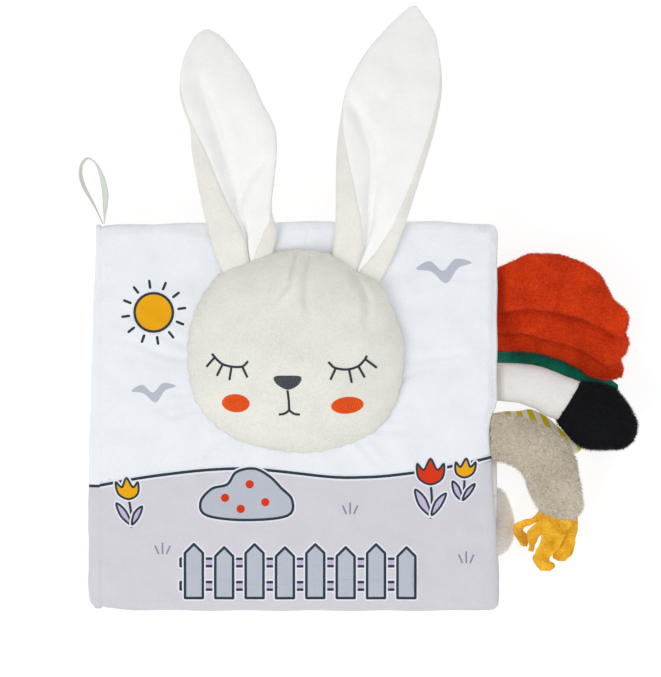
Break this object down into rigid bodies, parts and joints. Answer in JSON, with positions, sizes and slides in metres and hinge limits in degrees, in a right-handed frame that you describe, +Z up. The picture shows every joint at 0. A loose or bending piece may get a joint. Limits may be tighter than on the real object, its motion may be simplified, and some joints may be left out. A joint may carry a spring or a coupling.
{
  "type": "crinkle cloth book",
  "caption": "Square padded cloth baby book with a stuffed rabbit head on its cover, a ribbon hang loop and fabric tails along its fore-edge.",
  "frame": {"origin": "centre of the back cover's flat underside, on which the closed book lies", "axes": "+X from the spine to the fore-edge with the tails, +Y towards the ears, +Z up out of the front cover"},
  "size_m": [0.2508, 0.2702, 0.0566],
  "materials": {
    "cover_cotton": "brushed polyester, printed",
    "lining_cotton": "woven polyester",
    "page_cotton": "woven polyester, printed",
    "spine_cotton": "woven polyester tape",
    "foam": "polyester wadding",
    "crinkle_film": "thin crinkly film",
    "face_plush": "short-pile plush",
    "white_plush": "short-pile plush",
    "fibre_filling": "loose polyester fibre",
    "dark_embroidery": "satin-stitched rayon thread",
    "red_embroidery": "satin-stitched rayon thread",
    "grey_fur": "short faux fur",
    "mustard_fleece": "fleece",
    "black_plush": "velboa plush",
    "rust_plush": "velboa plush",
    "green_plush": "velboa plush",
    "striped_cotton": "printed cotton",
    "cream_fur": "faux fur",
    "ribbon": "satin-edged polyester ribbon"
  },
  "bodies": {
    "back_cover": {"back_cover_outer_panel": "cover_cotton", "back_cover_lining_panel": "lining_cotton", "back_cover_foam": "foam", "back_cover_crinkle_film": "crinkle_film", "back_cover_spine_tape": "spine_cotton"},
    "leaf_4": {"leaf_4_front_panel": "page_cotton", "leaf_4_back_panel": "page_cotton", "leaf_4_foam": "foam", "leaf_4_crinkle_film": "crinkle_film", "leaf_4_spine_tape": "spine_cotton"},
    "leaf_3": {"leaf_3_front_panel": "page_cotton", "leaf_3_back_panel": "page_cotton", "leaf_3_foam": "foam", "leaf_3_crinkle_film": "crinkle_film", "leaf_3_spine_tape": "spine_cotton"},
    "leaf_2": {"leaf_2_front_panel": "page_cotton", "leaf_2_back_panel": "page_cotton", "leaf_2_foam": "foam", "leaf_2_crinkle_film": "crinkle_film", "leaf_2_spine_tape": "spine_cotton"},
    "leaf_1": {"leaf_1_front_panel": "page_cotton", "leaf_1_back_panel": "page_cotton", "leaf_1_foam": "foam", "leaf_1_crinkle_film": "crinkle_film", "leaf_1_spine_tape": "spine_cotton"},
    "front_cover": {"front_cover_outer_panel": "cover_cotton", "front_cover_lining_panel": "lining_cotton", "front_cover_foam": "foam", "front_cover_crinkle_film": "crinkle_film", "front_cover_spine_tape": "spine_cotton", "head_face_panel": "face_plush", "head_stuffing": "fibre_filling", "left_eye_stitching": "dark_embroidery", "right_eye_stitching": "dark_embroidery", "nose_stitching": "dark_embroidery", "mouth_stitching": "dark_embroidery", "left_cheek": "red_embroidery", "right_cheek": "red_embroidery"},
    "left_ear": {"left_ear_back": "face_plush", "left_ear_lining": "white_plush"},
    "right_ear": {"right_ear_back": "face_plush", "right_ear_lining": "white_plush"},
    "fur_tail": {"fur_tail": "grey_fur"},
    "fringe": {"fur_tail_fringe": "mustard_fleece"},
    "white_tail": {"white_tail": "white_plush", "black_tail_tip": "black_plush"},
    "rooster_tail": {"rust_feather_1": "rust_plush", "rust_feather_2": "rust_plush", "rust_feather_3": "rust_plush", "green_feather": "green_plush"},
    "striped_tail": {"striped_tail": "striped_cotton"},
    "puff_tail": {"puff_tail": "cream_fur"},
    "hang_loop": {"hang_loop": "ribbon"}
  },
  "joints": [
    {"name": "leaf_4_turn", "type": "hinge", "parent": "back_cover", "child": "leaf_4", "pos_m": [-0.0902, 0, 0.0072], "axis": [0, 1, 0], "range_deg": [-30, 0]},
    {"name": "leaf_3_turn", "type": "hinge", "parent": "leaf_4", "child": "leaf_3", "pos_m": [-0.0902, 0, 0.0126], "axis": [0, 1, 0], "range_deg": [-30, 0]},
    {"name": "leaf_2_turn", "type": "hinge", "parent": "leaf_3", "child": "leaf_2", "pos_m": [-0.0902, 0, 0.018], "axis": [0, 1, 0], "range_deg": [-30, 0]},
    {"name": "leaf_1_turn", "type": "hinge", "parent": "leaf_2", "child": "leaf_1", "pos_m": [-0.0902, 0, 0.0234], "axis": [0, 1, 0], "range_deg": [-30, 0]},
    {"name": "front_cover_turn", "type": "hinge", "parent": "leaf_1", "child": "front_cover", "pos_m": [-0.0902, 0, 0.0288], "axis": [0, -1, 0], "range_deg": [0, 180]},
    {"name": "left_ear_lift", "type": "hinge", "parent": "front_cover", "child": "left_ear", "pos_m": [-0.02218, 0.06905, 0.0392], "axis": [-0.9848, -0.1736, 0], "range_deg": [-90, 0]},
    {"name": "right_ear_lift", "type": "hinge", "parent": "front_cover", "child": "right_ear", "pos_m": [0.02689, 0.066, 0.0392], "axis": [-0.9774, 0.2113, 0], "range_deg": [-90, 0]},
    {"name": "fur_tail_lift", "type": "hinge", "parent": "front_cover", "child": "fur_tail", "pos_m": [0.0887, -0.0099, 0.0338], "axis": [0, 1, 0], "range_deg": [-80, 0]},
    {"name": "fringe_lift", "type": "hinge", "parent": "fur_tail", "child": "fringe", "pos_m": [0.1172, -0.04495, 0.0302], "axis": [1, 0, 0], "range_deg": [-60, 0]},
    {"name": "white_tail_lift", "type": "hinge", "parent": "leaf_1", "child": "white_tail", "pos_m": [0.0867, 0.0148, 0.0274], "axis": [0, -1, 0], "range_deg": [0, 35]},
    {"name": "rooster_tail_lift", "type": "hinge", "parent": "leaf_2", "child": "rooster_tail", "pos_m": [0.0869, 0.0426, 0.023], "axis": [0, -1, 0], "range_deg": [0, 11]},
    {"name": "striped_tail_lift", "type": "hinge", "parent": "leaf_3", "child": "striped_tail", "pos_m": [0.08665, -0.0076, 0.0162], "axis": [0, -1, 0], "range_deg": [0, 10]},
    {"name": "puff_tail_lift", "type": "hinge", "parent": "leaf_4", "child": "puff_tail", "pos_m": [0.08715, -0.048, 0.011], "axis": [0, -1, 0], "range_deg": [0, 25]},
    {"name": "hang_loop_swing", "type": "hinge", "parent": "front_cover", "child": "hang_loop", "pos_m": [-0.087, 0.0863, 0.0325], "axis": [1, 0, 0], "range_deg": [-45, 45]}
  ],
  "couplings": [
    {"joint": "leaf_3_turn", "follows": "leaf_4_turn", "ratio": 1},
    {"joint": "leaf_2_turn", "follows": "leaf_4_turn", "ratio": 1},
    {"joint": "leaf_1_turn", "follows": "leaf_4_turn", "ratio": 1}
  ]
}
